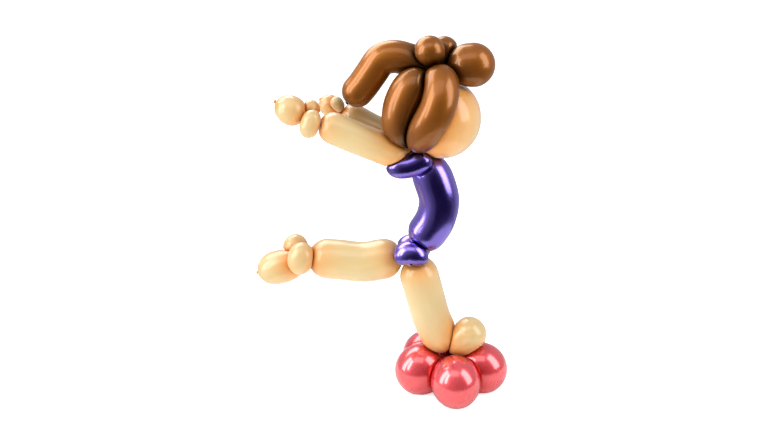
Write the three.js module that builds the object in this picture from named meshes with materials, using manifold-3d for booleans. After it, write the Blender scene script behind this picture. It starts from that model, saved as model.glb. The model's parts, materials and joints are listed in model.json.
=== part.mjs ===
// A gymnast twisted from balloons, who arches back on one leg, on a flower of five round balloons.
// Millimetres. +X is the way the figure faces, +Y is its left side and +Z is up.
import * as THREE from "three";
import { mergeVertices } from "three/addons/utils/BufferGeometryUtils.js";
import Module from "manifold-3d";

const wasm = await Module();
wasm.setup();

// Sizes of the flower
const PETAL_RADIUS = 34;
const PETAL_SQUEEZE = 10; // how far two petals press into each other
const PETAL_FLAT_DEPTH = 7; // how much of a petal the ground presses flat
const PETAL_WIDTH_SHARE = 0.93; // its width between its neighbours, as a share of its height
// Where each petal points, in degrees from the way the figure faces, and how far out it sits.
const PETAL_PLACES = {
  front: { degrees: -76, outset: 1 },
  right: { degrees: -4, outset: 1 },
  back_right: { degrees: 68, outset: 1 },
  back_left: { degrees: 145, outset: 1 },
  left: { degrees: 199, outset: 0.98 },
};

// Size of the figure, from the heel to the top of its hair. Its pose is in hundredths of this.
const FIGURE_HEIGHT = 414;
const HEEL_SINK = 11; // how far the heel sinks below the tops of the petals

// Contact between two balloons
const CONTACT_GAP = 2.2;
const CONTACT_ROUNDING = 3; // how softly a free surface turns into a pressed one

// Fineness of the surfaces
const FACET = 10.5; // the width of a facet at a bubble's fullest ring
const FEWEST_SIDES = 10;
const SPINE_STEPS = 28;
const PRESS_STEPS = 16;
const SAME_POINT = 1e-3; // vertices closer than this are one vertex
const STEEP = 0.9; // a line steeper than this starts its rings from the figure's left
const LEAST_REACH = 0.05; // a pressed point keeps at least this share of its distance from the line

const PEACH = { color: 0xeac48f, roughness: 0.3, metalness: 0 };
const BROWN = { color: 0x8a4a1c, roughness: 0.22, metalness: 0.3 };
const PURPLE = { color: 0x5a3fa8, roughness: 0.15, metalness: 0.9 };
const CORAL = { color: 0xf0686c, roughness: 0.2, metalness: 0.3 };

const UP = new THREE.Vector3(0, 0, 1);
const LEFT = new THREE.Vector3(0, 1, 0);
const petalCentreHeight = PETAL_RADIUS - PETAL_FLAT_DEPTH;
const petalCount = Object.keys(PETAL_PLACES).length;
const petalRing = (PETAL_RADIUS - PETAL_SQUEEZE) / Math.sin(Math.PI / petalCount);
const heelHeight = petalCentreHeight + PETAL_RADIUS - HEEL_SINK;

const share = (hundredths) => (hundredths * FIGURE_HEIGHT) / 100;

// Points of the figure, each as hundredths of its height: forward, to its left, and up from the heel.
const posed = (points) =>
  points.map(([forward, left, up]) => {
    const aboveHeel = share(up);
    return new THREE.Vector3(share(forward), share(left), heelHeight + aboveHeel);
  });

const mirrored = (points, forwardShift = 0, upShift = 0) =>
  points.map(([forward, left, up]) => [forward + forwardShift, -left, up + upShift]);

// A bubble is a line with a radius, and each end is a dome as long as its cap.
function bubble(points, radius, caps = [radius, radius], widthShare = 1) {
  const curve =
    points.length === 2
      ? new THREE.LineCurve3(points[0], points[1])
      : new THREE.CatmullRomCurve3(points, false, "centripetal");
  const length = curve.getLength();
  const fit = Math.min(1, length / (caps[0] + caps[1]));
  const made = { curve, length, radius, startCap: caps[0] * fit, endCap: caps[1] * fit, widthShare };
  made.spine = spineOf(made);
  return made;
}

// How far past its own centre a dome longer than its radius still holds the spheres of the spine.
const spineReach = (cap, radius) => (cap > radius ? (cap * cap - radius * radius) / cap : 0);

// The largest spheres that fit inside a bubble, all along its line.
function spineOf({ curve, length, radius, startCap, endCap }) {
  const first = startCap - spineReach(startCap, radius);
  const last = length - endCap + spineReach(endCap, radius);
  return Array.from({ length: SPINE_STEPS + 1 }, (_, i) => {
    const along = first + ((last - first) * i) / SPINE_STEPS;
    const [into, cap] =
      along < startCap ? [startCap - along, startCap] : [Math.max(0, along - length + endCap), endCap];
    const squeeze = cap > radius ? (into * into) / (cap * cap - radius * radius) : 0;
    return { centre: curve.getPointAt(along / length), radius: radius * Math.sqrt(1 - squeeze) };
  });
}

const figureBubble = (points, radius, caps) =>
  bubble(posed(points), share(radius), caps && caps.map(share));

function radiusAt({ length, radius, startCap, endCap }, along) {
  const intoStart = Math.max(0, 1 - along / startCap);
  const intoEnd = Math.max(0, 1 - (length - along) / endCap);
  const into = Math.min(1, Math.max(intoStart, intoEnd));
  return radius * Math.sqrt(1 - into * into);
}

// How far a point lies outside a bubble's own free surface.
function outside({ spine }, point) {
  return Math.min(...spine.map(({ centre, radius }) => point.distanceTo(centre) - radius));
}

const softMinimum = (a, b, softness) => {
  const blend = Math.max(0, softness - Math.abs(a - b)) / softness;
  return Math.min(a, b) - (blend * blend * softness) / 4;
};

// Stations along a bubble: closer together in the domes, even between them.
function stationsOf({ length, radius, startCap, endCap }) {
  const rings = Math.max(3, Math.round((radius * Math.PI) / 2 / FACET));
  const dome = (cap) =>
    Array.from({ length: rings }, (_, i) => cap * (1 - Math.cos(((i + 1) / rings) * (Math.PI / 2))));
  const between = length - startCap - endCap;
  const steps = Math.round(between / FACET);
  const inner = Math.max(0, steps - 1);
  const middle = Array.from({ length: inner }, (_, i) => startCap + (between * (i + 1)) / steps);
  const end = dome(endCap).reverse().map((s) => length - s);
  return [...dome(startCap), ...middle, ...(steps > 0 ? end : end.slice(1))];
}

// The bubble's free surface: a lathed form bent along its line. Each vertex keeps an anchor on that line.
function freeSurface(form) {
  const stations = stationsOf(form);
  const sides = Math.max(FEWEST_SIDES, Math.round((2 * Math.PI * form.radius) / FACET));
  const alongs = [0, ...stations, form.length];
  const profile = alongs.map((s) => new THREE.Vector2(s === form.length ? 0 : radiusAt(form, s), s));
  const geometry = new THREE.LatheGeometry(profile, sides);
  const normal = new THREE.Vector3();
  const frames = alongs.map((s, i) => {
    const tangent = form.curve.getTangentAt(s / form.length);
    if (i === 0) {
      normal.copy(Math.abs(tangent.dot(UP)) > STEEP ? LEFT : UP);
    }
    normal.addScaledVector(tangent, -normal.dot(tangent)).normalize();
    const centre = form.curve.getPointAt(s / form.length);
    return { side: normal.clone(), cross: normal.clone().cross(tangent), centre };
  });
  const position = geometry.attributes.position;
  const anchors = [];
  for (let i = 0; i < position.count; i += 1) {
    const ring = i % alongs.length;
    const { side, cross, centre } = frames[ring];
    const bent = centre
      .clone()
      .addScaledVector(side, position.getX(i))
      .addScaledVector(cross, position.getZ(i) * form.widthShare);
    position.setXYZ(i, bent.x, bent.y, bent.z);
    const anchorAlong = THREE.MathUtils.clamp(alongs[ring], form.startCap, form.length - form.endCap);
    anchors.push(form.curve.getPointAt(anchorAlong / form.length));
  }
  return { geometry, anchors };
}

// How far from its anchor a point can go before the neighbour's surface is as near as the bubble's own.
function pressedReach(form, neighbour, anchor, direction, reach) {
  const at = (distance) => anchor.clone().addScaledVector(direction, distance);
  const beyond = (distance) =>
    outside(form, at(distance)) - outside(neighbour, at(distance)) + CONTACT_GAP / 2 > 0;
  let low = 0;
  let high = reach + 2 * CONTACT_ROUNDING;
  if (!beyond(high)) {
    return Infinity;
  }
  for (let i = 0; i < PRESS_STEPS; i += 1) {
    const middle = (low + high) / 2;
    if (beyond(middle)) {
      high = middle;
    } else {
      low = middle;
    }
  }
  return low;
}

const nearEachOther = (one, other) =>
  one.spine.some(({ centre, radius }) => outside(other, centre) < radius + 2 * CONTACT_ROUNDING);

// A bubble pressed flat where it meets its neighbours.
function pressed(form, others) {
  const { geometry, anchors } = freeSurface(form);
  const neighbours = others.filter((other) => nearEachOther(form, other));
  const position = geometry.attributes.position;
  for (let i = 0; i < position.count; i += 1) {
    const direction = new THREE.Vector3().fromBufferAttribute(position, i).sub(anchors[i]);
    const reach = direction.length();
    direction.divideScalar(reach);
    const walls = neighbours.map((other) => pressedReach(form, other, anchors[i], direction, reach));
    const wall = Math.min(...walls, Infinity);
    const held = wall === Infinity ? reach : softMinimum(reach, wall, CONTACT_ROUNDING);
    const point = anchors[i].clone().addScaledVector(direction, Math.max(held, LEAST_REACH * reach));
    position.setXYZ(i, point.x, point.y, point.z);
  }
  return solidOf(geometry);
}

function solidOf(geometry) {
  geometry.deleteAttribute("normal");
  geometry.deleteAttribute("uv");
  const merged = mergeVertices(geometry, SAME_POINT);
  const corners = merged.index.array;
  const kept = [];
  for (let i = 0; i < corners.length; i += 3) {
    const [a, b, c] = [corners[i], corners[i + 1], corners[i + 2]];
    if (a !== b && b !== c && c !== a) {
      kept.push(a, b, c);
    }
  }
  return new wasm.Manifold(
    new wasm.Mesh({
      numProp: 3,
      vertProperties: new Float32Array(merged.attributes.position.array),
      triVerts: new Uint32Array(kept),
    }),
  );
}

const joined = (solids) => solids.reduce((whole, solid) => whole.add(solid));

// The rolled tip that a balloon is blown up through: radius and distance along, in shares of its size.
const TIP_PROFILE = [
  [0, 0],
  [0.5, 0],
  [0.45, 1],
  [0.72, 1.35],
  [0.72, 1.7],
  [0, 1.7],
];

function tip(points, size) {
  const [from, to] = posed(points);
  const profile = TIP_PROFILE.map((row) => new THREE.Vector2(...row.map((part) => share(part * size))));
  const geometry = new THREE.LatheGeometry(profile, FEWEST_SIDES);
  const latheAxis = new THREE.Vector3(0, 1, 0);
  const direction = to.clone().sub(from).normalize();
  geometry.applyQuaternion(new THREE.Quaternion().setFromUnitVectors(latheAxis, direction));
  geometry.translate(from.x, from.y, from.z);
  return solidOf(geometry);
}

function petal({ degrees, outset }) {
  const angle = THREE.MathUtils.degToRad(degrees);
  const out = new THREE.Vector3(Math.cos(angle), Math.sin(angle), 0);
  const height = UP.clone().multiplyScalar(petalCentreHeight);
  const ring = petalRing * outset;
  const inner = height.clone().addScaledVector(out, ring - PETAL_RADIUS);
  const outer = height.clone().addScaledVector(out, ring + PETAL_RADIUS);
  return bubble([inner, outer], PETAL_RADIUS, [PETAL_RADIUS, PETAL_RADIUS], PETAL_WIDTH_SHARE);
}

const FLOWER = Object.fromEntries(
  Object.entries(PETAL_PLACES).map(([name, place]) => {
    const piece = { finish: CORAL, bubbles: [petal(place)] };
    return [`petal_${name}`, piece];
  }),
);

const ARCHED_BACK = [
  [-8, 0, 65.2],
  [-5.8, 0, 60.9],
  [-3.8, 0, 56.1],
  [-2.5, 0, 50.4],
  [-3.7, 0, 44.5],
  [-6.5, 0, 39.8],
  [-9.9, 0, 35.6],
];
const NEAR_SHOULDER = [
  [-16.8, -6, 63.7],
  [-13.9, -6.2, 62.5],
  [-10.7, -6, 62.5],
  [-7.4, -5.2, 63.7],
  [-4.4, -3.8, 65.6],
];
const NEAR_HIP = [
  [-13.5, -4.3, 31.2],
  [-13.1, -4.3, 33.3],
  [-11.9, -4.3, 34.6],
  [-10.1, -4.3, 34.7],
  [-9, -4.3, 33.3],
  [-9, -4.3, 30.9],
];
const SIDE_LOCK = [
  [-3.4, -1.9, 88],
  [-0.4, -8.4, 86.2],
  [-1.2, -12, 80.8],
  [-4.7, -10.9, 74.8],
  [-9, -3.6, 68.2],
];
const BACK_LOCK = [
  [-4.6, -1.4, 88],
  [-8.3, -5, 85.2],
  [-11.2, -6.2, 80],
  [-11.8, -5.8, 74.4],
  [-10, -2, 68],
];
const TAIL = [
  [-2.9, 0, 89.4],
  [-9.5, 0, 91.6],
  [-14, 0, 92.8],
  [-17.9, 0, 92],
  [-21.1, 0, 88.2],
  [-23.9, 0, 84.6],
  [-28.5, 0, 79.9],
];
const STANDING_LEG = [
  [-10.5, -1, 31.9],
  [-8.5, -0.7, 24.2],
  [-7, -0.5, 17.4],
  [-5.2, 0, 10.2],
  [-0.8, 0, 0.1],
];
const RAISED_LEG = [
  [-14, 1, 31.2],
  [-19.3, 0.7, 30.8],
  [-26.4, 0.3, 29.7],
  [-33.7, 0, 30.4],
  [-43.7, -0.5, 31.3],
];
const RIGHT_ARM = [
  [-11, -4.8, 64.5],
  [-15.8, -5.1, 66.8],
  [-22.8, -5.6, 69.8],
  [-29.9, -5.8, 72.9],
  [-35.7, -6, 75.8],
];
const LEFT_ARM = [
  [-10.2, 4.8, 64.4],
  [-17.3, 5.1, 68.4],
  [-23.2, 5.3, 71.3],
  [-31.7, 5.8, 76.1],
];

const FIGURE = {
  standing_leg: {
    finish: PEACH,
    bubbles: [
      figureBubble(STANDING_LEG, 6),
      figureBubble([[0, -0.5, 0], [9.8, -1.4, 10.6]], 5.2, [7.2, 4.8]),
    ],
  },
  raised_leg: {
    finish: PEACH,
    bubbles: [
      figureBubble(RAISED_LEG, 6.3),
      figureBubble([[-43.8, -3.9, 37.4], [-46.2, -4.8, 27.4]], 4.1, [4.8, 4.8]),
      figureBubble([[-45.1, 1.4, 31.5], [-51.8, 4.8, 34.8]], 4, [4.6, 3.8]),
      figureBubble([[-44.1, -0.5, 30.1], [-60.4, -0.5, 25.7]], 5.4, [9.8, 6.5]),
    ],
    tips: [tip([[-59.9, -0.5, 25.8], [-61.7, -0.5, 25.3]], 0.7)],
  },
  leotard: {
    finish: PURPLE,
    bubbles: [
      figureBubble(ARCHED_BACK, 6, [10, 6]),
      figureBubble(NEAR_SHOULDER, 3.4, [4.6, 3.4]),
      figureBubble(mirrored(NEAR_SHOULDER), 3.4, [4.6, 3.4]),
      figureBubble(NEAR_HIP, 3.9),
      figureBubble(mirrored(NEAR_HIP, -0.4, -1.2), 3.9),
    ],
  },
  right_arm: {
    finish: PEACH,
    bubbles: [
      figureBubble(RIGHT_ARM, 4.6),
      figureBubble([[-36.2, -8, 79.5], [-39.3, -8.7, 71.8]], 2.9, [3.6, 3.6]),
      figureBubble([[-36.1, -3.9, 77.9], [-41, -2.9, 79.4]], 2.9),
      figureBubble([[-39.8, -6, 76.8], [-48, -6, 81.5]], 4.3, [4.8, 5.8]),
    ],
    tips: [tip([[-47.5, -6, 81.2], [-49.1, -6, 82.2]], 0.7)],
  },
  left_arm: {
    finish: PEACH,
    bubbles: [
      figureBubble(LEFT_ARM, 4.3),
      figureBubble([[-31, 5, 76.1], [-33.4, 3.4, 80.6]], 1.9, [3, 1.9]),
      figureBubble([[-31, 5.7, 75], [-38.3, 8.2, 79.1]], 3.3, [5.2, 3.4]),
    ],
    tips: [tip([[-37.8, 8, 78.8], [-39.3, 8.5, 79.6]], 0.6)],
  },
  head: {
    finish: PEACH,
    bubbles: [figureBubble([[-1, 0, 86.4], [-1.4, 0, 63.6]], 11.1)],
  },
  hair: {
    finish: BROWN,
    bubbles: [
      figureBubble(SIDE_LOCK, 4.9, [7, 9]),
      figureBubble(BACK_LOCK, 5.8, [8, 9]),
      figureBubble(mirrored(BACK_LOCK, 1.9), 5.7, [8, 9]),
      figureBubble(mirrored(SIDE_LOCK), 4.8, [7, 9]),
      figureBubble([[0.2, 0, 89.3], [13.8, 0, 90.7]], 6.1),
    ],
  },
  ponytail: {
    finish: BROWN,
    bubbles: [
      figureBubble([[-2.8, -0.8, 90.1], [-5, -4.8, 98.2]], 4.3, [5.2, 4]),
      figureBubble([[-2.6, 0.8, 89.6], [1.1, 4.8, 97]], 3.8, [5, 3.8]),
      figureBubble(TAIL, 4.6),
    ],
    tips: [tip([[-27.9, 0, 80.4], [-29.3, 0, 79.1]], 0.7)],
  },
};

const PIECES = { ...FLOWER, ...FIGURE };

// Everything below the ground is cut away, which leaves a true flat under each petal.
function ground() {
  const slab = new THREE.BoxGeometry(4 * FIGURE_HEIGHT, 4 * FIGURE_HEIGHT, PETAL_RADIUS);
  slab.translate(0, 0, -PETAL_RADIUS / 2);
  return solidOf(slab);
}

function meshOf(name, { finish, bubbles, tips = [] }) {
  const others = Object.entries(PIECES)
    .filter(([other]) => other !== name)
    .flatMap(([, piece]) => piece.bubbles);
  const solid = joined([...bubbles.map((form) => pressed(form, others)), ...tips]).subtract(ground());
  const { vertProperties, triVerts } = solid.getMesh();
  const geometry = new THREE.BufferGeometry();
  geometry.setAttribute("position", new THREE.BufferAttribute(vertProperties, 3));
  geometry.setIndex(new THREE.BufferAttribute(triVerts, 1));
  geometry.computeVertexNormals();
  const mesh = new THREE.Mesh(geometry, new THREE.MeshStandardMaterial(finish));
  mesh.name = name;
  return mesh;
}

const gymnast = new THREE.Group();
for (const [name, piece] of Object.entries(PIECES)) {
  gymnast.add(meshOf(name, piece));
}

// The origin is on the ground, under the middle of the whole figure.
const whole = new THREE.Box3().setFromObject(gymnast);
gymnast.position.set(-(whole.min.x + whole.max.x) / 2, -(whole.min.y + whole.max.y) / 2, -whole.min.z);

export default gymnast;
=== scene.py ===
"""A gymnast twisted from modelling balloons, arching back on one leg on a flower of round balloons.

Laid out as an add-on. Metres. +X is the way the figure faces, +Y is its left side and +Z is up.
"""

import functools
import json
import math

import bmesh
import bpy
import numpy as np
from bpy.props import FloatProperty, FloatVectorProperty, IntProperty, PointerProperty
from mathutils import Matrix


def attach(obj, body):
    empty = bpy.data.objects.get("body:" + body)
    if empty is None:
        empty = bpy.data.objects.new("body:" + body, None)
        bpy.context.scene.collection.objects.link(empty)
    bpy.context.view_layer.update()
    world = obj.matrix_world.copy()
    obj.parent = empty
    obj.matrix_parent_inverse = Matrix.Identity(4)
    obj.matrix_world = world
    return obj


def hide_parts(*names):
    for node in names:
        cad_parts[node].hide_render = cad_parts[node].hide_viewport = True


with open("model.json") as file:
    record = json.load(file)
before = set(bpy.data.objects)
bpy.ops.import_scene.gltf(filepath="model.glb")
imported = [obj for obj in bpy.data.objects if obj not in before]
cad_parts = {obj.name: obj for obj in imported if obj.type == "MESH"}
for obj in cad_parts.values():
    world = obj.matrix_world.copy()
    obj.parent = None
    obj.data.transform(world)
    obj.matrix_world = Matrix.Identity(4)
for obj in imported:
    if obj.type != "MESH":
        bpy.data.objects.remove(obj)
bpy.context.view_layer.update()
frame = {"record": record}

bl_info = {
    "name": "Balloon gymnast",
    "version": (1, 0, 0),
    "blender": (4, 5, 0),
    "location": "3D View > Sidebar > Balloons",
    "description": "A gymnast twisted from modelling balloons, on a flower of five round balloons",
    "category": "Object",
}

MM = 0.001

# Sizes of the flower
PETAL_RADIUS = 34 * MM
PETAL_SQUEEZE = 10 * MM
PETAL_FLAT_DEPTH = 7 * MM
PETAL_WIDTH_SHARE = 0.93
PETAL_PLACES = {
    "front": (-76, 1),
    "right": (-4, 1),
    "back_right": (68, 1),
    "back_left": (145, 1),
    "left": (199, 0.98),
}
PETAL_CENTRE_HEIGHT = PETAL_RADIUS - PETAL_FLAT_DEPTH
PETAL_RING = (PETAL_RADIUS - PETAL_SQUEEZE) / math.sin(math.pi / len(PETAL_PLACES))

# Size of the figure, from the heel to the top of its hair. Its pose is in hundredths of this.
FIGURE_HEIGHT = 414 * MM
HEEL_SINK = 11 * MM
HEEL_HEIGHT = PETAL_CENTRE_HEIGHT + PETAL_RADIUS - HEEL_SINK

# Fineness
SPINE_SPHERES = 48
LINE_POINTS_PER_SPAN = 24
DOME_RINGS = 20
PRESS_STEPS = 14
GROUND_ROUNDING = 2 * MM
WELD_DISTANCE = 0.001 * MM

# A pleat fades where the balloon's radius is less than this many times its depth.
PLEAT_ROOM = 6.0

# A tip from its knot to its lip: share of its length, and radius in shares of its size.
TIP_PROFILE = [(0.0, 0.45), (0.3, 0.42), (0.62, 0.5), (0.8, 0.7), (0.9, 0.74), (1.0, 0.6)]
TIP_SIDES = 40
TIP_RINGS = 25
TIP_PLEATS = 7
TIP_PLEAT_DEPTH = 0.09
TIP_LINE_POINTS = 9

# Sizes of a tip in shares of its size: its length, its knot's coils and the coils' thickness.
TIP_LENGTH = 1.7
COIL_RADIUS = 0.5
COIL_THICKNESS = 0.2

# The knot's coils are the first few of these places along the tip.
COIL_PLACES = 8
COILS = 3
COIL_SIDES = 24
COIL_SECTION_SIDES = 10

# The picture's size and the place in it where the flower's axis meets the ground, in pixels.
PICTURE_WIDTH, PICTURE_HEIGHT = 760, 428
AXIS_IN_PICTURE = (450.5, 383)
SENSOR_WIDTH = 36.0
METRES_PER_PIXEL = 1.25 * MM

# The stage
FLOOR_RADIUS = 20.0
TABLE_RADIUS = 0.3
FLOOR_STEP = 0.2 * MM
FLOOR_GLOW = 0.6
FLOOR_SIDES = 96
FLOOR_ROUGHNESS = 0.9
TABLE_SHADE = 0.6
AMBIENT = 0.52
DAYLIGHT_SPREAD = 70
DAYLIGHT_TILT = (22, 0, 10)

# The room from behind the figure round to the camera's side: place on the ramp and colour. Its
# darkest side is a few degrees round from the camera, and a little below it.
ROOM_SHADES = [
    (0.0, (0.5, 0.47, 0.53)),
    (0.6, (0.17, 0.155, 0.19)),
    (0.85, (0.018, 0.014, 0.045)),
]
DARK_SIDE = 22
DARK_SIDE_DROP = -0.25

# The softboxes: name, azimuth from the camera's side, elevation, size, and share of the power.
SOFTBOXES = [
    ("left_softbox_a", -80, 25, (0.5, 1.7), 1.0),
    ("left_softbox_b", -56, 28, (0.36, 1.2), 0.6),
    ("right_softbox", 66, 28, (0.8, 1.6), 1.1),
    ("top_softbox", -12, 62, (1.2, 0.7), 0.24),
    ("back_softbox", -145, 48, (1.5, 0.9), 1.3),
]
SOFTBOX_DISTANCE = 1.5

ARCHED_BACK = [
    (-8, 0, 65.2), (-5.8, 0, 60.9), (-3.8, 0, 56.1), (-2.5, 0, 50.4),
    (-3.7, 0, 44.5), (-6.5, 0, 39.8), (-9.9, 0, 35.6),
]
NEAR_SHOULDER = [
    (-16.8, -6, 63.7), (-13.9, -6.2, 62.5), (-10.7, -6, 62.5), (-7.4, -5.2, 63.7), (-4.4, -3.8, 65.6),
]
NEAR_HIP = [
    (-13.5, -4.3, 31.2), (-13.1, -4.3, 33.3), (-11.9, -4.3, 34.6),
    (-10.1, -4.3, 34.7), (-9, -4.3, 33.3), (-9, -4.3, 30.9),
]
SIDE_LOCK = [
    (-3.4, -1.9, 88), (-0.4, -8.4, 86.2), (-1.2, -12, 80.8), (-4.7, -10.9, 74.8), (-9, -3.6, 68.2),
]
BACK_LOCK = [
    (-4.6, -1.4, 88), (-8.3, -5, 85.2), (-11.2, -6.2, 80), (-11.8, -5.8, 74.4), (-10, -2, 68),
]
TAIL = [
    (-2.9, 0, 89.4), (-9.5, 0, 91.6), (-14, 0, 92.8), (-17.9, 0, 92),
    (-21.1, 0, 88.2), (-23.9, 0, 84.6), (-28.5, 0, 79.9),
]
LEG = [(-10.5, -1, 31.9), (-8.5, -0.7, 24.2), (-7, -0.5, 17.4), (-5.2, 0, 10.2), (-0.8, 0, 0.1)]
STRETCHED_LEG = [
    (-14, 1, 31.2), (-19.3, 0.7, 30.8), (-26.4, 0.3, 29.7), (-33.7, 0, 30.4), (-43.7, -0.5, 31.3),
]
NEAR_ARM = [
    (-11, -4.8, 64.5), (-15.8, -5.1, 66.8), (-22.8, -5.6, 69.8), (-29.9, -5.8, 72.9), (-35.7, -6, 75.8),
]
FAR_ARM = [(-10.2, 4.8, 64.4), (-17.3, 5.1, 68.4), (-23.2, 5.3, 71.3), (-31.7, 5.8, 76.1)]


def mirrored(points, forward=0.0, up=0.0):
    return [(x + forward, -y, z + up) for x, y, z in points]


# Which ends of a bubble are twisted shut, so that they show pleats.
BOTH, START, NEITHER = (1, 1), (1, 0), (0, 0)

# Each bubble of the figure: its line, its radius, its twisted ends and, where it isn't a plain dome,
# the length of its two ends.
FIGURE = {
    "standing_leg": [
        (LEG, 6, BOTH),
        ([(0, -0.5, 0), (9.8, -1.4, 10.6)], 5.2, START, (7.2, 4.8)),
    ],
    "raised_leg": [
        (STRETCHED_LEG, 6.3, BOTH),
        ([(-43.8, -3.9, 37.4), (-46.2, -4.8, 27.4)], 4.1, NEITHER, (4.8, 4.8)),
        ([(-45.1, 1.4, 31.5), (-51.8, 4.8, 34.8)], 4, START, (4.6, 3.8)),
        ([(-44.1, -0.5, 30.1), (-60.4, -0.5, 25.7)], 5.4, BOTH, (9.8, 6.5)),
    ],
    "leotard": [
        (ARCHED_BACK, 6, BOTH, (10, 6)),
        (NEAR_SHOULDER, 3.4, BOTH, (4.6, 3.4)),
        (mirrored(NEAR_SHOULDER), 3.4, BOTH, (4.6, 3.4)),
        (NEAR_HIP, 3.9, BOTH),
        (mirrored(NEAR_HIP, -0.4, -1.2), 3.9, BOTH),
    ],
    "right_arm": [
        (NEAR_ARM, 4.6, BOTH),
        ([(-36.2, -8, 79.5), (-39.3, -8.7, 71.8)], 2.9, NEITHER, (3.6, 3.6)),
        ([(-36.1, -3.9, 77.9), (-41, -2.9, 79.4)], 2.9, START),
        ([(-39.8, -6, 76.8), (-48, -6, 81.5)], 4.3, BOTH, (4.8, 5.8)),
    ],
    "left_arm": [
        (FAR_ARM, 4.3, BOTH),
        ([(-31, 5, 76.1), (-33.4, 3.4, 80.6)], 1.9, START, (3, 1.9)),
        ([(-31, 5.7, 75), (-38.3, 8.2, 79.1)], 3.3, BOTH, (5.2, 3.4)),
    ],
    "head": [([(-1, 0, 86.4), (-1.4, 0, 63.6)], 11.1, NEITHER)],
    "hair": [
        (SIDE_LOCK, 4.9, BOTH, (7, 9)),
        (BACK_LOCK, 5.8, BOTH, (8, 9)),
        (mirrored(BACK_LOCK, 1.9), 5.7, BOTH, (8, 9)),
        (mirrored(SIDE_LOCK), 4.8, BOTH, (7, 9)),
        ([(0.2, 0, 89.3), (13.8, 0, 90.7)], 6.1, START),
    ],
    "ponytail": [
        ([(-2.8, -0.8, 90.1), (-5, -4.8, 98.2)], 4.3, START, (5.2, 4)),
        ([(-2.6, 0.8, 89.6), (1.1, 4.8, 97)], 3.8, START, (5, 3.8)),
        (TAIL, 4.6, BOTH),
    ],
}

# The tied tips that the balloons are blown up through: from, to, and size.
TIPS = {
    "raised_leg": ((-59.9, -0.5, 25.8), (-61.7, -0.5, 25.3), 0.7),
    "right_arm": ((-47.5, -6, 81.2), (-49.1, -6, 82.2), 0.7),
    "left_arm": ((-37.8, 8, 78.8), (-39.3, 8.5, 79.6), 0.6),
    "ponytail": ((-27.9, 0, 80.4), (-29.3, 0, 79.1), 0.7),
}


def flower_axis():
    """Where the petals meet, read from the place of the mount under the front petal."""
    mount = next(m for m in frame["record"]["mounts"] if m["name"] == "under_petal_front")
    degrees, outset = PETAL_PLACES["front"]
    angle = math.radians(degrees)
    reach = PETAL_RING * outset
    x, y, _ = mount["pos_m"]
    return np.array([x - reach * math.cos(angle), y - reach * math.sin(angle), 0.0])


AXIS = flower_axis()


def posed(points):
    """Points of the figure, in metres in the part's frame."""
    return AXIS + [0, 0, HEEL_HEIGHT] + np.array(points, float) * FIGURE_HEIGHT / 100


def share(hundredths):
    return hundredths * FIGURE_HEIGHT / 100


def smooth_line(points):
    """A centripetal Catmull-Rom line through the points."""
    points = np.array(points, float)
    if len(points) == 2:
        return points[0] + np.linspace(0, 1, LINE_POINTS_PER_SPAN)[:, None] * (points[1] - points[0])
    ends = np.vstack([2 * points[0] - points[1], points, 2 * points[-1] - points[-2]])
    spans = []
    for p0, p1, p2, p3 in zip(ends, ends[1:], ends[2:], ends[3:]):
        knots = np.cumsum([0, *[np.linalg.norm(b - a) ** 0.5 for a, b in ((p0, p1), (p1, p2), (p2, p3))]])
        t0, t1, t2, t3 = knots
        t = np.linspace(t1, t2, LINE_POINTS_PER_SPAN)[:, None]
        a1 = (t1 - t) / (t1 - t0) * p0 + (t - t0) / (t1 - t0) * p1
        a2 = (t2 - t) / (t2 - t1) * p1 + (t - t1) / (t2 - t1) * p2
        a3 = (t3 - t) / (t3 - t2) * p2 + (t - t2) / (t3 - t2) * p3
        b1 = (t2 - t) / (t2 - t0) * a1 + (t - t0) / (t2 - t0) * a2
        b2 = (t3 - t) / (t3 - t1) * a2 + (t - t1) / (t3 - t1) * a3
        spans.append(((t2 - t) / (t2 - t1) * b1 + (t - t1) / (t2 - t1) * b2)[:-1])
    return np.vstack([*spans, points[-1]])


class Bubble:
    """A line with a radius, and each end is a dome as long as its cap."""

    def __init__(self, points, radius, twisted, caps=None):
        self.twisted = twisted
        self.line = smooth_line(points)
        steps = np.linalg.norm(np.diff(self.line, axis=0), axis=1)
        self.travel = np.concatenate([[0], np.cumsum(steps)])
        self.length = self.travel[-1]
        self.radius = radius
        start, end = caps or (radius, radius)
        fit = min(1, self.length / (start + end))
        self.start_cap, self.end_cap = start * fit, end * fit
        self.centres, self.radii = self.spine()

    def at(self, along):
        return np.stack([np.interp(along, self.travel, self.line[:, k]) for k in range(3)], axis=-1)

    def spine(self):
        """The largest spheres that fit inside, all along the line."""

        def reach(cap):
            """How far the last sphere's centre lies inside a long dome."""
            return (cap ** 2 - self.radius ** 2) / cap if cap > self.radius else 0.0

        first = self.start_cap - reach(self.start_cap)
        last = self.length - self.end_cap + reach(self.end_cap)
        along = np.linspace(first, last, SPINE_SPHERES)
        radii = np.full(SPINE_SPHERES, self.radius)
        for into, cap in ((self.start_cap - along, self.start_cap),
                          (along - self.length + self.end_cap, self.end_cap)):
            if cap > self.radius:
                squeeze = np.clip(into, 0, None) ** 2 / (cap ** 2 - self.radius ** 2)
                radii = np.minimum(radii, self.radius * np.sqrt(np.clip(1 - squeeze, 0, 1)))
        return self.at(along), radii

    def outside(self, points):
        """How far each point lies outside this bubble's free surface."""
        away = np.linalg.norm(points[:, None, :] - self.centres[None], axis=2) - self.radii
        return away.min(axis=1)


def petal(name):
    degrees, outset = PETAL_PLACES[name]
    angle = math.radians(degrees)
    out = np.array([math.cos(angle), math.sin(angle), 0.0])
    middle = AXIS + [0, 0, PETAL_CENTRE_HEIGHT] + out * PETAL_RING * outset
    return Bubble([middle - out * PETAL_RADIUS, middle + out * PETAL_RADIUS], PETAL_RADIUS, START)


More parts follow.
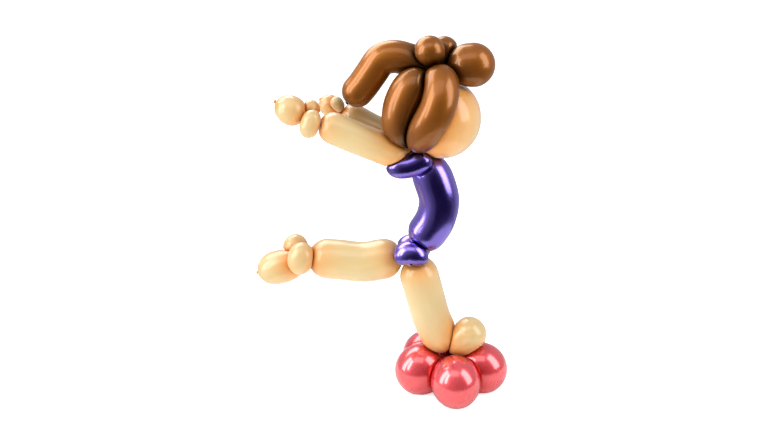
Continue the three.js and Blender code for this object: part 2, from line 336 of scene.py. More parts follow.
@functools.cache
def all_bubbles():
    """Every bubble of the object, by the name of the piece that it is in."""
    made = {f"petal_{name}": [petal(name)] for name in PETAL_PLACES}
    for name, rows in FIGURE.items():
        made[name] = [
            Bubble(posed(line), share(radius), twisted, tuple(map(share, caps[0])) if caps else None)
            for line, radius, twisted, *caps in rows
        ]
    return made


# Settings


class BALLOON_PG_shape(bpy.types.PropertyGroup):
    """How finely and how tightly the balloons are made."""

    ring_spacing: FloatProperty(
        name="Ring spacing", description="Distance between two rings of a balloon",
        default=2.4 * MM, subtype="DISTANCE", unit="LENGTH",
    )
    sides: IntProperty(name="Sides", description="Points round one ring", default=72, min=12)
    contact_gap: FloatProperty(
        name="Contact gap", description="Clearance between two balloons that touch",
        default=0.3 * MM, subtype="DISTANCE", unit="LENGTH",
    )
    contact_rounding: FloatProperty(
        name="Contact rounding", description="How softly a free surface turns into a pressed one",
        default=3.2 * MM, subtype="DISTANCE", unit="LENGTH",
    )
    hair_rounding: FloatProperty(
        name="Hair rounding", description="The same for the locks, which touch more lightly",
        default=7 * MM, subtype="DISTANCE", unit="LENGTH",
    )
    pleats: IntProperty(name="Pleats", description="Pleats round a twisted neck", default=9, min=0)
    pleat_depth: FloatProperty(
        name="Pleat depth", description="Depth of a pleat at a twisted neck",
        default=0.7 * MM, subtype="DISTANCE", unit="LENGTH",
    )
    pleat_reach: FloatProperty(
        name="Pleat reach", description="How far from the neck the pleats fade out",
        default=7 * MM, subtype="DISTANCE", unit="LENGTH",
    )


def colour(name, description, default):
    return FloatVectorProperty(
        name=name, description=description, default=default, size=3, min=0, max=1, subtype="COLOR"
    )


class BALLOON_PG_finish(bpy.types.PropertyGroup):
    """The colours of the latex, and the painted shade in its creases."""

    peach: colour("Peach", "Skin balloons where they are fullest", (0.49, 0.39, 0.19))
    # Deep peach: the unstretched latex's deeper tone at the twists, and painted shade where balloons
    # touch.
    peach_twist_tone_and_crease_shade: colour("Deep peach", "Skin balloons at their twists", (0.6, 0.225, 0.028))
    brown: colour("Chestnut", "Hair balloons where they are fullest", (0.27, 0.075, 0.005))
    # Deep chestnut: near-black painted shade, at the hair's twists and where its balloons touch.
    brown_painted_shade: colour("Deep chestnut", "Hair balloons at their twists", (0.02, 0.003, 0.0008))
    violet: colour("Violet chrome", "Leotard where it is fullest", (0.25, 0.18, 0.7))
    # Deep violet: deeper at the twists, and painted shade where balloons touch.
    violet_twist_tone_and_crease_shade: colour("Deep violet", "Leotard at its twists", (0.06, 0.025, 0.18))
    coral: colour("Coral", "Petals where they are fullest", (0.8, 0.078, 0.088))
    # Deep coral: deeper at the twist, and painted shade where petals touch.
    coral_twist_tone_and_crease_shade: colour("Deep coral", "Petals at their twists", (0.62, 0.012, 0.012))


class BALLOON_PG_stage(bpy.types.PropertyGroup):
    """Camera, lights and floor."""

    azimuth: FloatProperty(
        name="Azimuth", description="Which side the camera looks from",
        default=math.radians(10), subtype="ANGLE", unit="ROTATION",
    )
    elevation: FloatProperty(
        name="Elevation", description="How far above the horizon the camera is",
        default=math.radians(20), subtype="ANGLE", unit="ROTATION",
    )
    roll: FloatProperty(
        name="Roll", description="How far the camera leans",
        default=math.radians(2.7), subtype="ANGLE", unit="ROTATION",
    )
    distance: FloatProperty(
        name="Distance", description="From the camera to the figure's middle plane",
        default=1.0, subtype="DISTANCE", unit="LENGTH",
    )
    key_power: FloatProperty(
        name="Softbox power", description="Power of each side softbox",
        default=14, subtype="POWER", unit="POWER",
    )
    daylight: FloatProperty(
        name="Daylight", description="Strength of the even, shineless light from above",
        default=0.55, min=0,
    )
    floor_colour: colour("Floor", "Colour of the floor", (0.93, 0.93, 0.93))


# Geometry Nodes


class Tree:
    """A short way to write a node tree: each call adds a node and joins its inputs."""

    def __init__(self, name):
        self.tree = bpy.data.node_groups.new(name, "GeometryNodeTree")
        self.nodes = self.tree.nodes

    def add(self, kind, settings=None, **inputs):
        node = self.nodes.new(kind)
        for name, value in (settings or {}).items():
            setattr(node, name, value)
        for name, value in inputs.items():
            self.join(node, name.replace("_", " "), value)
        return node

    def join(self, node, name, value):
        """Sets or links an input by its name, or by its number, written i0, i1 and so on."""
        key = int(name[1:]) if name[:1] == "i" and name[1:].isdigit() else name
        socket = node.inputs[key]
        if isinstance(value, bpy.types.NodeSocket):
            self.tree.links.new(value, socket)
        elif isinstance(value, bpy.types.Node):
            self.tree.links.new(value.outputs[0], socket)
        else:
            socket.default_value = value

    def math(self, operation, *values):
        node = self.nodes.new("ShaderNodeMath")
        node.operation = operation
        for i, value in enumerate(values):
            self.join(node, f"i{i}", value)
        return node.outputs[0]

    def input(self, name, kind):
        return self.tree.interface.new_socket(name, in_out="INPUT", socket_type=kind).identifier


def store(tree, geometry, name, value):
    return tree.add(
        "GeometryNodeStoreNamedAttribute", {"data_type": "FLOAT", "domain": "POINT"},
        Geometry=geometry, Name=name, Value=value,
    )


def read(tree, name):
    node = tree.add("GeometryNodeInputNamedAttribute", {"data_type": "FLOAT"}, Name=name)
    return node.outputs["Attribute"]


@functools.cache
def inflated_tree():
    """Turns a line of edges into a balloon: domed ends, and pleats where it is twisted shut."""
    tree = Tree("inflated balloon")
    names = {
        "Geometry": "NodeSocketGeometry", "Radius": "NodeSocketFloat", "Start Cap": "NodeSocketFloat",
        "End Cap": "NodeSocketFloat", "Start Twisted": "NodeSocketFloat", "End Twisted": "NodeSocketFloat",
        "Rings": "NodeSocketInt", "Sides": "NodeSocketInt",
        "Pleats": "NodeSocketInt", "Pleat Depth": "NodeSocketFloat", "Pleat Reach": "NodeSocketFloat",
        "Latex": "NodeSocketMaterial",
    }
    identifiers = {name: tree.input(name, kind) for name, kind in names.items()}
    tree.tree.interface.new_socket("Geometry", in_out="OUTPUT", socket_type="NodeSocketGeometry")
    given = tree.nodes.new("NodeGroupInput").outputs

    line = tree.add("GeometryNodeMeshToCurve", Mesh=given["Geometry"])
    rings = tree.add("GeometryNodeResampleCurve", {"mode": "COUNT"}, Curve=line, Count=given["Rings"])
    length = tree.nodes.new("GeometryNodeSplineLength").outputs["Length"]
    factor = tree.nodes.new("GeometryNodeSplineParameter").outputs["Factor"]
    turned = tree.math("COSINE", tree.math("MULTIPLY", factor, math.pi))
    spaced = tree.math("MULTIPLY", tree.math("SUBTRACT", 1.0, turned), 0.5)
    measured = store(tree, rings, "along", tree.math("MULTIPLY", spaced, length))
    along = read(tree, "along")
    left_over = tree.math("SUBTRACT", length, along)
    into_start = tree.math("SUBTRACT", 1.0, tree.math("DIVIDE", along, given["Start Cap"]))
    into_end = tree.math("SUBTRACT", 1.0, tree.math("DIVIDE", left_over, given["End Cap"]))
    into = tree.math("MINIMUM", tree.math("MAXIMUM", tree.math("MAXIMUM", into_start, into_end), 0.0), 1.0)
    round_share = tree.math("SQRT", tree.math("SUBTRACT", 1.0, tree.math("MULTIPLY", into, into)))
    girthed = store(tree, measured, "girth", tree.math("MULTIPLY", round_share, given["Radius"]))

    def neck(distance, twisted):
        span = tree.math("DIVIDE", distance, given["Pleat Reach"])
        squared = tree.math("MULTIPLY", span, span)
        return tree.math("MULTIPLY", tree.math("EXPONENT", tree.math("MULTIPLY", squared, -1.0)), twisted)

    necks = tree.math("ADD", neck(along, given["Start Twisted"]), neck(left_over, given["End Twisted"]))
    ended = store(tree, girthed, "neck", necks)
    sample = tree.add("GeometryNodeSampleCurve", {"mode": "LENGTH"}, Curves=line, Length=along)
    placed = tree.add("GeometryNodeSetPosition", Geometry=ended, Position=sample.outputs["Position"])

    circle = tree.add("GeometryNodeCurvePrimitiveCircle", Resolution=given["Sides"], Radius=1.0)
    section = store(tree, circle, "around", factor)
    girth = read(tree, "girth")
    skin = tree.add("GeometryNodeCurveToMesh", Curve=placed, Profile_Curve=section, Scale=girth)
    closed = tree.add("GeometryNodeMergeByDistance", Geometry=skin, Distance=WELD_DISTANCE)

    wave = tree.math("MULTIPLY", tree.math("MULTIPLY", read(tree, "around"), math.tau), given["Pleats"])
    ripple = tree.math("MULTIPLY", tree.math("SUBTRACT", 1.0, tree.math("COSINE", wave)), 0.5)
    fade = read(tree, "neck")
    room = tree.math("DIVIDE", girth, tree.math("MULTIPLY", given["Pleat Depth"], PLEAT_ROOM))
    held = tree.math("MINIMUM", room, 1.0)
    depth = tree.math("MULTIPLY", tree.math("MULTIPLY", ripple, fade), tree.math("MULTIPLY", held, -1.0))
    depth = tree.math("MULTIPLY", depth, given["Pleat Depth"])
    normal = tree.nodes.new("GeometryNodeInputNormal").outputs["Normal"]
    fold = tree.add("ShaderNodeVectorMath", {"operation": "SCALE"}, Vector=normal, Scale=depth)
    pleated = tree.add("GeometryNodeSetPosition", Geometry=closed, Offset=fold)

    smooth = tree.add("GeometryNodeSetShadeSmooth", Geometry=pleated)
    real = tree.add("GeometryNodeRealizeInstances", Geometry=smooth)
    painted = tree.add("GeometryNodeSetMaterial", Geometry=real, Material=given["Latex"])
    out = tree.nodes.new("NodeGroupOutput")
    tree.join(out, "Geometry", painted)
    return tree.tree, identifiers


@functools.cache
def tied_tip_tree():
    """Turns a line of edges into a tied tip: a pleated tube, a coiled knot and a rolled lip."""
    tree = Tree("tied tip")
    names = {
        "Geometry": "NodeSocketGeometry", "Size": "NodeSocketFloat", "Sides": "NodeSocketInt",
        "Pleats": "NodeSocketInt", "Latex": "NodeSocketMaterial",
    }
    identifiers = {name: tree.input(name, kind) for name, kind in names.items()}
    tree.tree.interface.new_socket("Geometry", in_out="OUTPUT", socket_type="NodeSocketGeometry")
    given = tree.nodes.new("NodeGroupInput").outputs
    size = given["Size"]

    def times(value):
        return tree.math("MULTIPLY", size, value)

    line = tree.add("GeometryNodeMeshToCurve", Mesh=given["Geometry"])
    rings = tree.add("GeometryNodeResampleCurve", {"mode": "COUNT"}, Curve=line, Count=TIP_RINGS)
    factor = tree.nodes.new("GeometryNodeSplineParameter").outputs["Factor"]
    profile = tree.nodes.new("ShaderNodeFloatCurve")
    tree.join(profile, "Value", factor)
    curve = profile.mapping.curves[0]
    for place, height in TIP_PROFILE[1:-1]:
        curve.points.new(place, height)
    curve.points[0].location = TIP_PROFILE[0]
    curve.points[len(TIP_PROFILE) - 1].location = TIP_PROFILE[-1]
    profile.mapping.update()
    girthed = store(tree, rings, "girth", tree.math("MULTIPLY", profile.outputs[0], size))
    circle = tree.add("GeometryNodeCurvePrimitiveCircle", Resolution=given["Sides"], Radius=1.0)
    section = store(tree, circle, "around", factor)
    girth = read(tree, "girth")
    tube = tree.add(
        "GeometryNodeCurveToMesh", Curve=girthed, Profile_Curve=section, Scale=girth, Fill_Caps=True
    )
    wave = tree.math("MULTIPLY", tree.math("MULTIPLY", read(tree, "around"), math.tau), given["Pleats"])
    pleat_depth = tree.math("MULTIPLY", girth, TIP_PLEAT_DEPTH)
    ripple = tree.math("MULTIPLY", tree.math("COSINE", wave), pleat_depth)
    normal = tree.nodes.new("GeometryNodeInputNormal").outputs["Normal"]
    fold = tree.add("ShaderNodeVectorMath", {"operation": "SCALE"}, Vector=normal, Scale=ripple)
    pleated = tree.add("GeometryNodeSetPosition", Geometry=tube, Offset=fold)

    coils = tree.add("GeometryNodeResampleCurve", {"mode": "COUNT"}, Curve=line, Count=COIL_PLACES)
    index = tree.nodes.new("GeometryNodeInputIndex").outputs[0]
    tied = tree.add("FunctionNodeCompare", {"data_type": "INT", "operation": "LESS_THAN"})
    tree.join(tied, "i2", index)
    tree.join(tied, "i3", COILS)
    tangent = tree.nodes.new("GeometryNodeInputTangent").outputs[0]
    turn = tree.add("FunctionNodeAlignRotationToVector", {"axis": "Z"}, Vector=tangent)
    loop = tree.add(
        "GeometryNodeCurvePrimitiveCircle", Resolution=COIL_SIDES, Radius=times(COIL_RADIUS)
    )
    thickness = tree.add(
        "GeometryNodeCurvePrimitiveCircle", Resolution=COIL_SECTION_SIDES, Radius=times(COIL_THICKNESS)
    )
    ring = tree.add("GeometryNodeCurveToMesh", Curve=loop, Profile_Curve=thickness)
    knot = tree.add(
        "GeometryNodeInstanceOnPoints", Points=coils, Selection=tied, Instance=ring, Rotation=turn
    )
    both = tree.nodes.new("GeometryNodeJoinGeometry")
    tree.tree.links.new(pleated.outputs[0], both.inputs[0])
    tree.tree.links.new(knot.outputs[0], both.inputs[0])
    smooth = tree.add("GeometryNodeSetShadeSmooth", Geometry=both)
    real = tree.add("GeometryNodeRealizeInstances", Geometry=smooth)
    painted = tree.add("GeometryNodeSetMaterial", Geometry=real, Material=given["Latex"])
    out = tree.nodes.new("NodeGroupOutput")
    tree.join(out, "Geometry", painted)
    return tree.tree, identifiers


def grown(points, tree, identifiers, values):
    """The mesh that a node tree grows from a line."""
    line = bpy.data.meshes.new("line")
    line.from_pydata([tuple(p) for p in points], [(i, i + 1) for i in range(len(points) - 1)], [])
    carrier = bpy.data.objects.new("line", line)
    bpy.context.scene.collection.objects.link(carrier)
    modifier = carrier.modifiers.new("grow", "NODES")
    modifier.node_group = tree
    for name, value in values.items():
        modifier[identifiers[name]] = value
    bpy.context.view_layer.update()
    evaluated = carrier.evaluated_get(bpy.context.evaluated_depsgraph_get())
    mesh = bpy.data.meshes.new_from_object(evaluated)
    carrier.modifiers.remove(modifier)
    bpy.data.objects.remove(carrier)
    bpy.data.meshes.remove(line)
    return mesh


def places_of(mesh):
    values = np.zeros(len(mesh.vertices) * 3, np.float32)
    mesh.vertices.foreach_get("co", values)
    return values.reshape(-1, 3).astype(float)


def stored(mesh, name):
    values = np.zeros(len(mesh.vertices), np.float32)
    mesh.attributes[name].data.foreach_get("value", values)
    return values.astype(float)


def soft_minimum(a, b, softness):
    """The lesser of two values, with the corner between them rounded off."""
    blend = np.clip(softness - np.abs(a - b), 0, None) / softness
    return np.minimum(a, b) - blend ** 2 * softness / 4


def wall_distance(own, neighbour, anchors, directions, reach, rounding, gap):
    """How far each point can go before the neighbour's surface is as near as the bubble's own."""

    def beyond(rows, distance):
        points = anchors[rows] + directions[rows] * distance[:, None]
        return own.outside(points) - neighbour.outside(points) + gap / 2 > 0

    far = reach + 2 * rounding
    wall = np.full(len(reach), np.inf)
    rows = np.arange(len(reach))
    rows = rows[beyond(rows, far)]
    if not len(rows):
        return wall
    low, high = np.zeros(len(rows)), far[rows]
    for _ in range(PRESS_STEPS):
        middle = (low + high) / 2
        past = beyond(rows, middle)
        high = np.where(past, middle, high)
        low = np.where(past, low, middle)
    wall[rows] = low
    return wall


class Shell:
    """One closed surface, with its latex's own coordinates and how deep its colour is: deeper at its
    twists, and painted shade where it nears a neighbour.
    """

    def __init__(self, points, faces, skin, depth):
        self.points, self.faces, self.skin, self.depth = points, faces, skin, depth


def faces_of(mesh):
    return [tuple(p.vertices) for p in mesh.polygons]


def pressed_shell(own, others, latex, shape, rounding, crease_shade_reach, is_petal):
    """A balloon blown up along its line, then pressed flat against its neighbours."""
    # glow: how far the painted crease shade spreads from a contact.
    glow = crease_shade_reach * own.radius
    tree, identifiers = inflated_tree()
    rings = DOME_RINGS + round(own.length / shape.ring_spacing)
    mesh = grown(own.line, tree, identifiers, {
        "Radius": own.radius, "Start Cap": own.start_cap, "End Cap": own.end_cap, "Rings": rings,
        "Start Twisted": float(own.twisted[0]), "End Twisted": float(own.twisted[1]),
        "Sides": shape.sides, "Pleats": shape.pleats, "Pleat Depth": shape.pleat_depth,
        "Pleat Reach": min(shape.pleat_reach, own.radius / 2), "Latex": latex,
    })
    points, faces = places_of(mesh), faces_of(mesh)
    along, around, neck = stored(mesh, "along"), stored(mesh, "around"), stored(mesh, "neck")
    bpy.data.meshes.remove(mesh)
    anchors = own.at(np.clip(along, own.start_cap, own.length - own.end_cap))
    if is_petal:
        out = own.line[-1] - own.line[0]
        across = np.cross([0, 0, 1], out / np.linalg.norm(out))
        sideways = (points - anchors) @ across
        points -= (1 - PETAL_WIDTH_SHARE) * sideways[:, None] * across
    directions = points - anchors
    reach = np.linalg.norm(directions, axis=1)
    directions /= reach[:, None]
    neighbours = [b for b in others if (b.outside(own.centres) < own.radii + 2 * rounding + glow).any()]
    wall = np.full(len(points), np.inf)
    gap = shape.contact_gap
    for other in neighbours:
        wall = np.minimum(wall, wall_distance(own, other, anchors, directions, reach, rounding, gap))
    met = np.isfinite(wall)
    held = np.where(met, soft_minimum(reach, np.where(met, wall, 1), rounding), reach)
    points = anchors + directions * np.clip(held, 0, None)[:, None]
    if is_petal:
        points[:, 2] = -soft_minimum(-points[:, 2], 0, GROUND_ROUNDING)
    # The colour's depth: painted crease shade where the balloon nears its neighbours, and the deeper tone
    # at its twists (near-black painted shade for the hair).
    clear = np.min([b.outside(points) for b in neighbours], axis=0)
    painted_crease_shade = np.exp(-np.clip(clear, 0, None) / glow)
    depth = np.clip(np.maximum(painted_crease_shade, neck), 0, 1)
    if is_petal:
        skin = points - AXIS
    else:
        turn = around * math.tau
        skin = np.stack([np.cos(turn) * own.radius, np.sin(turn) * own.radius, along], axis=1)
    return Shell(points, faces, skin, depth)


def tip_shell(start, end, size, latex):
    tree, identifiers = tied_tip_tree()
    first, last = posed([start, end])
    direction = (last - first) / np.linalg.norm(last - first)
    steps = np.linspace(0, 1, TIP_LINE_POINTS)
    line = [first + direction * share(size) * TIP_LENGTH * step for step in steps]
    mesh = grown(line, tree, identifiers, {
        "Size": share(size), "Sides": TIP_SIDES, "Pleats": TIP_PLEATS, "Latex": latex,
    })
    points, faces = places_of(mesh), faces_of(mesh)
    bpy.data.meshes.remove(mesh)
    # The whole tip takes the deep colour: the twists' tone, and near-black painted shade for the hair.
    return Shell(points, faces, points.copy(), np.ones(len(points)))


def balloon_piece(name, node, shells, latex):
    """One object from its shells, standing for its CAD node."""
    starts = np.cumsum([0, *[len(s.points) for s in shells]])
    points = np.vstack([s.points for s in shells])
    faces = [tuple(i + start for i in face) for s, start in zip(shells, starts) for face in s.faces]
    mesh = bpy.data.meshes.new(name)
    mesh.from_pydata([tuple(p) for p in points], [], faces)
    skin = mesh.attributes.new("skin", "FLOAT_VECTOR", "POINT")
    skin.data.foreach_set("vector", np.vstack([s.skin for s in shells]).astype(np.float32).ravel())
    # depth: how far the colour deepens, at the twists and as painted crease shade.
    depth = mesh.attributes.new("depth", "FLOAT", "POINT")
    depth.data.foreach_set("value", np.concatenate([s.depth for s in shells]).astype(np.float32))
    mesh.materials.append(latex)
    mesh.shade_smooth()
    mesh.validate()
    outward(mesh)
    piece = bpy.data.objects.new(name, mesh)
    bpy.context.scene.collection.objects.link(piece)
    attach(piece, "root")
    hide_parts(node)


def outward(mesh):
    """Turns every closed shell's faces outwards."""
    edited = bmesh.new()
    edited.from_mesh(mesh)
    bmesh.ops.recalc_face_normals(edited, faces=edited.faces)
    edited.to_mesh(mesh)
    edited.free()


def make_balloon(node, latex, slot):
    """Makes one piece of the object, all its balloons pressed against their neighbours."""
    shape = bpy.context.scene.balloon_shape
    bubbles = all_bubbles()
    every = [b for group in bubbles.values() for b in group]
    is_petal = node.startswith("petal_")
    rounding = shape.hair_rounding if slot == "brown" else shape.contact_rounding
    # How far the painted crease shade spreads, in shares of the radius.
    crease_shade_reach = FINISHES[slot]["crease_shade_reach"]
    shells = [
        pressed_shell(own, [b for b in every if b is not own], latex, shape, rounding, crease_shade_reach, is_petal)
        for own in bubbles[node]
    ]
    if node in TIPS:
        shells.append(tip_shell(*TIPS[node], latex))
    balloon_piece(f"{node}_balloon", node, shells, latex)


# Materials


# Patterns of the latex: cells to a metre, in the two ways across and along the balloon, and detail.
CLOUDS = (55, 55, 22), 3.0
STREAKS = (700, 700, 45), 2.0
PEEL = (900, 900, 700), 2.0
PEEL_HEIGHT = 0.2 * MM
PATTERN_RANGE = (0.3, 0.7)


def latex_material(name, full, deep, finish):
    """Blown-up latex: paler where it is full, deeper at its twists, with painted shade where it nears its
    neighbours, and faint marks along it.
    """
    material = bpy.data.materials.new(name)
    material.use_nodes = True
    nodes, links = material.node_tree.nodes, material.node_tree.links
    nodes.clear()
    out = nodes.new("ShaderNodeOutputMaterial")
    shader = nodes.new("ShaderNodeBsdfPrincipled")
    links.new(shader.outputs[0], out.inputs["Surface"])
    for socket, value in finish["shader"].items():
        shader.inputs[socket].default_value = value

    skin = nodes.new("ShaderNodeAttribute")
    skin.attribute_name = "skin"
    depth = nodes.new("ShaderNodeAttribute")
    depth.attribute_name = "depth"

    def stretched_noise(scale, detail):
        mapping = nodes.new("ShaderNodeMapping")
        mapping.inputs["Scale"].default_value = scale
        links.new(skin.outputs["Vector"], mapping.inputs["Vector"])
        noise = nodes.new("ShaderNodeTexNoise")
        noise.inputs["Scale"].default_value = 1.0
        noise.inputs["Detail"].default_value = detail
        links.new(mapping.outputs[0], noise.inputs["Vector"])
        return noise.outputs["Fac"]

    def ranged(value, low, high):
        node = nodes.new("ShaderNodeMapRange")
        links.new(value, node.inputs["Value"])
        node.inputs["From Min"].default_value, node.inputs["From Max"].default_value = PATTERN_RANGE
        node.inputs["To Min"].default_value = low
        node.inputs["To Max"].default_value = high
        return node.outputs[0]

    clouds = stretched_noise(*CLOUDS)
    streaks = stretched_noise(*STREAKS)
    peel = stretched_noise(*PEEL)

    # The deep colour comes in with depth: the twists' tone and the painted crease shade.
    curve = nodes.new("ShaderNodeMath")
    curve.operation = "POWER"
    links.new(depth.outputs["Fac"], curve.inputs[0])
    curve.inputs[1].default_value = finish["deep_falloff"]
    mix = nodes.new("ShaderNodeMix")
    mix.data_type = "RGBA"
    links.new(curve.outputs[0], mix.inputs["Factor"])
    mix.inputs["A"].default_value = (*full, 1)
    mix.inputs["B"].default_value = (*deep, 1)

    toned = nodes.new("ShaderNodeHueSaturation")
    links.new(mix.outputs["Result"], toned.inputs["Color"])
    links.new(ranged(clouds, 1 - finish["mottle"], 1 + finish["mottle"]), toned.inputs["Value"])
    links.new(ranged(streaks, 1 + finish["streak"], 1 - finish["streak"]), toned.inputs["Saturation"])
    links.new(toned.outputs[0], shader.inputs["Base Color"])

    links.new(ranged(clouds, *finish["roughness"]), shader.inputs["Roughness"])

    bump = nodes.new("ShaderNodeBump")
    bump.inputs["Strength"].default_value = finish["bump"]
    bump.inputs["Distance"].default_value = PEEL_HEIGHT
    links.new(peel, bump.inputs["Height"])
    links.new(bump.outputs[0], shader.inputs["Normal"])
    return material


# How far the painted crease shade spreads from a contact, in shares of the balloon's radius.
FINISHES = {
    "peach": {
        "shader": {
            "Metallic": 0.0, "Coat Weight": 0.8, "Coat Roughness": 0.14, "Specular IOR Level": 0.4,
            "Sheen Weight": 0.15, "Sheen Roughness": 0.4,
            "Subsurface Weight": 0.25, "Subsurface Scale": 0.005,
        },
        "roughness": (0.34, 0.42), "bump": 0.06, "mottle": 0.05, "streak": 0.02,
        "deep_falloff": 0.65, "crease_shade_reach": 0.48,
    },
    "brown": {
        "shader": {
            "Metallic": 0.6, "Coat Weight": 0.6, "Coat Roughness": 0.1,
            "Specular IOR Level": 1.0, "Specular Tint": (1, 0.84, 0.3, 1),
        },
        "roughness": (0.36, 0.43), "bump": 0.04, "mottle": 0.06, "streak": 0.01,
        "deep_falloff": 0.8, "crease_shade_reach": 0.33,
    },
    "purple_chrome": {
        "shader": {"Metallic": 1.0, "Coat Weight": 0.5, "Coat Roughness": 0.15},
        "roughness": (0.20, 0.25), "bump": 0.04, "mottle": 0.06, "streak": 0.01,
        "deep_falloff": 1.0, "crease_shade_reach": 0.12,
    },
    "coral": {
        "shader": {"Metallic": 0.6, "Coat Weight": 1.0, "Coat Roughness": 0.1, "Coat IOR": 1.8},
        "roughness": (0.24, 0.30), "bump": 0.04, "mottle": 0.04, "streak": 0.004,
        "deep_falloff": 1.2, "crease_shade_reach": 0.26,
    },
}


@functools.cache
def latex_for(slot):
    finish = bpy.context.scene.balloon_finish
    full, deep = {
        "peach": (finish.peach, finish.peach_twist_tone_and_crease_shade),
        "brown": (finish.brown, finish.brown_painted_shade),
        "purple_chrome": (finish.violet, finish.violet_twist_tone_and_crease_shade),
        "coral": (finish.coral, finish.coral_twist_tone_and_crease_shade),
    }[slot]
    return latex_material(f"{slot}_latex", tuple(full), tuple(deep), FINISHES[slot])


# Operators


class BALLOON_OT_petals(bpy.types.Operator):
    """Makes the five round petals of the flower"""

    bl_idname = "balloon.petals"
    bl_label = "Petals"

    def execute(self, context):
        for name in PETAL_PLACES:
            make_balloon(f"petal_{name}", latex_for("coral"), "coral")
        return {"FINISHED"}


class BALLOON_OT_legs(bpy.types.Operator):
    """Makes the leg that the figure stands on and the leg stretched out behind"""

    bl_idname = "balloon.legs"
    bl_label = "Legs"

    def execute(self, context):
        for node in ("standing_leg", "raised_leg"):
            make_balloon(node, latex_for("peach"), "peach")
        return {"FINISHED"}


class BALLOON_OT_leotard(bpy.types.Operator):
    """Makes the leotard: the arched back, two shoulders and two hips"""

    bl_idname = "balloon.leotard"
    bl_label = "Leotard"

    def execute(self, context):
        make_balloon("leotard", latex_for("purple_chrome"), "purple_chrome")
        return {"FINISHED"}


class BALLOON_OT_arms(bpy.types.Operator):
    """Makes the two arms with their hands"""

    bl_idname = "balloon.arms"
    bl_label = "Arms"

    def execute(self, context):
        for node in ("right_arm", "left_arm"):
            make_balloon(node, latex_for("peach"), "peach")
        return {"FINISHED"}


class BALLOON_OT_head(bpy.types.Operator):
    """Makes the head, with a bare face"""

    bl_idname = "balloon.head"
    bl_label = "Head"

    def execute(self, context):
        make_balloon("head", latex_for("peach"), "peach")
        return {"FINISHED"}


class BALLOON_OT_hair(bpy.types.Operator):
    """Makes the four locks and the bangs"""

    bl_idname = "balloon.hair"
    bl_label = "Hair"

    def execute(self, context):
        make_balloon("hair", latex_for("brown"), "brown")
        return {"FINISHED"}


class BALLOON_OT_ponytail(bpy.types.Operator):
    """Makes the ponytail and the two bubbles of its tie"""

    bl_idname = "balloon.ponytail"
    bl_label = "Ponytail"

    def execute(self, context):
        make_balloon("ponytail", latex_for("brown"), "brown")
        return {"FINISHED"}


def level_axes(azimuth, elevation):
    """Right, up and backward for what looks at the figure from this side without leaning."""
    flat = math.cos(elevation)
    back = np.array([math.sin(azimuth) * flat, -math.cos(azimuth) * flat, math.sin(elevation)])
    right = np.array([math.cos(azimuth), math.sin(azimuth), 0.0])
    return right, np.cross(back, right), back


def camera_axes(stage):
    """The camera's right, up and backward directions."""
    level_right, level_up, back = level_axes(stage.azimuth, stage.elevation)
    lean = stage.roll
    right = level_right * math.cos(lean) - level_up * math.sin(lean)
    up = level_right * math.sin(lean) + level_up * math.cos(lean)
    return right, up, back


def set_up(name, data, axes, place):
    """A camera or lamp, turned to its right, up and backward directions."""
    made = bpy.data.objects.new(name, data)
    columns = np.eye(4)
    columns[:3, :3] = np.stack(axes, axis=1)
    columns[:3, 3] = place
    made.matrix_world = Matrix(columns.tolist())
    bpy.context.scene.collection.objects.link(made)
    return made


def add_camera(stage):
    """A camera that sees the flower's axis at its place in the picture, at the stated distance."""
    right, up, back = camera_axes(stage)
    focal = stage.distance / METRES_PER_PIXEL
    across = (AXIS_IN_PICTURE[0] - PICTURE_WIDTH / 2) / focal
    above = (PICTURE_HEIGHT / 2 - AXIS_IN_PICTURE[1]) / focal
    sight = -back + right * across + up * above
    place = AXIS - sight * (-stage.distance * back[1] / sight[1])
    data = bpy.data.cameras.new("camera")
    data.sensor_width = SENSOR_WIDTH
    data.lens = SENSOR_WIDTH * focal / PICTURE_WIDTH
    bpy.context.scene.camera = set_up("camera", data, (right, up, back), place)


def add_softbox(stage, name, azimuth, elevation, size, power_share):
    """A softbox aimed at the figure's middle."""
    axes = level_axes(math.radians(azimuth) + stage.azimuth, math.radians(elevation))
    data = bpy.data.lights.new(name, "AREA")
    data.shape = "RECTANGLE"
    data.size, data.size_y = size
    data.energy = stage.key_power * power_share
    set_up(name, data, axes, [0, 0, FIGURE_HEIGHT / 2] + axes[2] * SOFTBOX_DISTANCE)


def add_daylight(stage):
    data = bpy.data.lights.new("daylight", "SUN")
    data.energy = stage.daylight
    data.angle = math.radians(DAYLIGHT_SPREAD)
    light = bpy.data.objects.new("daylight", data)
    light.rotation_euler = [math.radians(a) for a in DAYLIGHT_TILT]
    light.visible_glossy = False
    bpy.context.scene.collection.objects.link(light)


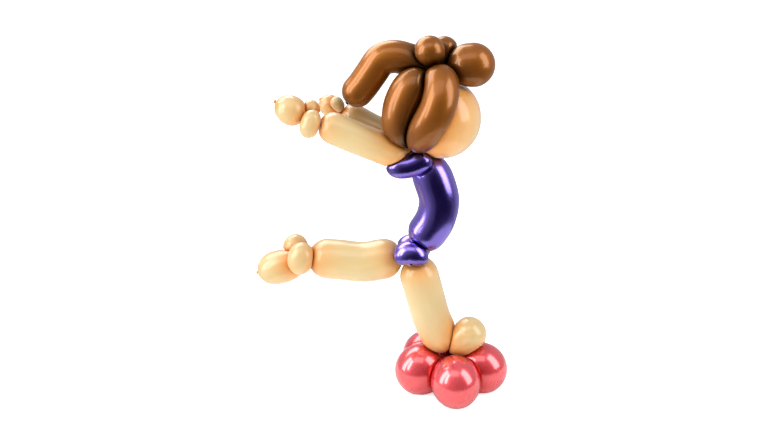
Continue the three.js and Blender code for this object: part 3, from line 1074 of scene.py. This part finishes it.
def add_world(stage):
    """A room for the shine of the latex, and an even light for all else."""
    world = bpy.data.worlds.new("room")
    bpy.context.scene.world = world
    world.use_nodes = True
    nodes, links = world.node_tree.nodes, world.node_tree.links
    nodes.clear()
    out = nodes.new("ShaderNodeOutputWorld")
    sky = nodes.new("ShaderNodeBackground")
    links.new(sky.outputs[0], out.inputs["Surface"])
    direction = nodes.new("ShaderNodeTexCoord")
    towards_camera = nodes.new("ShaderNodeVectorMath")
    towards_camera.operation = "DOT_PRODUCT"
    links.new(direction.outputs["Generated"], towards_camera.inputs[0])
    darkest = stage.azimuth + math.radians(DARK_SIDE)
    towards_camera.inputs[1].default_value = (math.sin(darkest), -math.cos(darkest), DARK_SIDE_DROP)
    ramp = nodes.new("ShaderNodeValToRGB")
    links.new(towards_camera.outputs["Value"], ramp.inputs["Fac"])
    ramp.color_ramp.interpolation = "EASE"
    elements = ramp.color_ramp.elements
    for place, _ in ROOM_SHADES[1:-1]:
        elements.new(place)
    for element, (place, shade) in zip(elements, ROOM_SHADES):
        element.position = place
        element.color = (*shade, 1)
    seen = nodes.new("ShaderNodeLightPath")
    colour = ramp.outputs[0]
    for ray, light in (("Is Diffuse Ray", AMBIENT), ("Is Camera Ray", 1.0)):
        mix = nodes.new("ShaderNodeMix")
        mix.data_type = "RGBA"
        links.new(seen.outputs[ray], mix.inputs["Factor"])
        links.new(colour, mix.inputs["A"])
        mix.inputs["B"].default_value = (light, light, light, 1)
        colour = mix.outputs["Result"]
    links.new(colour, sky.inputs["Color"])


def add_disc(name, radius, height, colour, glow):
    paint = bpy.data.materials.new(f"{name}_paint")
    paint.use_nodes = True
    shader = paint.node_tree.nodes["Principled BSDF"]
    shader.inputs["Base Color"].default_value = (*colour, 1)
    shader.inputs["Roughness"].default_value = FLOOR_ROUGHNESS
    shader.inputs["Emission Color"].default_value = (1, 1, 1, 1)
    shader.inputs["Emission Strength"].default_value = glow
    turns = np.linspace(0, math.tau, FLOOR_SIDES, endpoint=False)
    rim = [(AXIS[0] + radius * math.cos(a), AXIS[1] + radius * math.sin(a), height) for a in turns]
    mesh = bpy.data.meshes.new(name)
    mesh.from_pydata(rim, [], [tuple(range(FLOOR_SIDES))])
    mesh.materials.append(paint)
    disc = bpy.data.objects.new(name, mesh)
    bpy.context.scene.collection.objects.link(disc)
    return disc


def add_floor(stage):
    """A pale floor, and a duller disc near the figure that only its shine sees, as in a dim room."""
    floor = add_disc("floor", FLOOR_RADIUS, -FLOOR_STEP, stage.floor_colour, FLOOR_GLOW)
    floor.visible_glossy = False
    duller = [TABLE_SHADE * part for part in stage.floor_colour]
    reflected = add_disc("reflected_floor", TABLE_RADIUS, 0.0, duller, 0)
    reflected.visible_camera = False
    reflected.visible_diffuse = False
    reflected.visible_shadow = False


class BALLOON_OT_stage(bpy.types.Operator):
    """Sets the camera, the soft lights and the floor"""

    bl_idname = "balloon.stage"
    bl_label = "Stage"

    def execute(self, context):
        stage = context.scene.balloon_stage
        add_camera(stage)
        add_world(stage)
        add_floor(stage)
        for softbox in SOFTBOXES:
            add_softbox(stage, *softbox)
        add_daylight(stage)
        context.scene.view_settings.view_transform = "Standard"
        return {"FINISHED"}


OPERATORS = (
    BALLOON_OT_petals, BALLOON_OT_legs, BALLOON_OT_leotard, BALLOON_OT_arms,
    BALLOON_OT_head, BALLOON_OT_hair, BALLOON_OT_ponytail, BALLOON_OT_stage,
)
SETTINGS = {
    "balloon_shape": BALLOON_PG_shape,
    "balloon_finish": BALLOON_PG_finish,
    "balloon_stage": BALLOON_PG_stage,
}


class BALLOON_PT_panel(bpy.types.Panel):
    """The pieces of the gymnast, in the order that they are made"""

    bl_idname = "BALLOON_PT_panel"
    bl_label = "Balloon gymnast"
    bl_space_type = "VIEW_3D"
    bl_region_type = "UI"
    bl_category = "Balloons"

    def draw(self, context):
        for operator in OPERATORS:
            self.layout.operator(operator.bl_idname)
        for group in SETTINGS:
            settings = getattr(context.scene, group)
            box = self.layout.box()
            for name in settings.bl_rna.properties.keys():
                if name not in ("rna_type", "name"):
                    box.prop(settings, name)


def register():
    for cls in (*SETTINGS.values(), *OPERATORS, BALLOON_PT_panel):
        bpy.utils.register_class(cls)
    for name, group in SETTINGS.items():
        setattr(bpy.types.Scene, name, PointerProperty(type=group))


def unregister():
    for name in SETTINGS:
        delattr(bpy.types.Scene, name)
    for cls in reversed((*SETTINGS.values(), *OPERATORS, BALLOON_PT_panel)):
        bpy.utils.unregister_class(cls)


def main():
    register()
    for operator in OPERATORS:
        group, name = operator.bl_idname.split(".")
        getattr(getattr(bpy.ops, group), name)()


if __name__ == "__main__":
    main()
